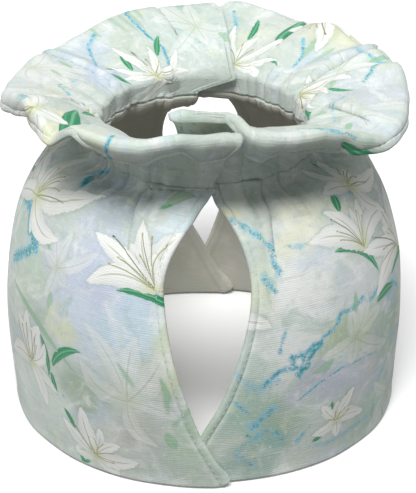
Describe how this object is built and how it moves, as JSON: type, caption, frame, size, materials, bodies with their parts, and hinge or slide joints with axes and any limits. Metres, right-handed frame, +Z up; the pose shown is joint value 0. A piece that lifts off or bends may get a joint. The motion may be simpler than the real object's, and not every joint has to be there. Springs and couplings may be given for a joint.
{
  "type": "tea cosy",
  "caption": "Padded fabric tea cosy that stands on its hem, with a gathered neck, a wide frill and crossed openings at front and back.",
  "frame": {"origin": "on the surface that the hem rests on, at the centre of the cosy seen from above", "axes": "+Z up, -Y out of the front opening, +X to the right of someone who looks at the front"},
  "size_m": [0.1756, 0.1741, 0.1606],
  "materials": {
    "panel_cloth": "matt woven cotton blend, padded, printed with white lilies on pale mint and blue",
    "frill_cloth": "matt woven cotton blend, padded, printed with white lilies on pale mint and blue"
  },
  "bodies": {
    "root": {"side_panel_left": "panel_cloth", "side_panel_right": "panel_cloth", "frill_left": "frill_cloth", "frill_right": "frill_cloth"}
  },
  "joints": []
}
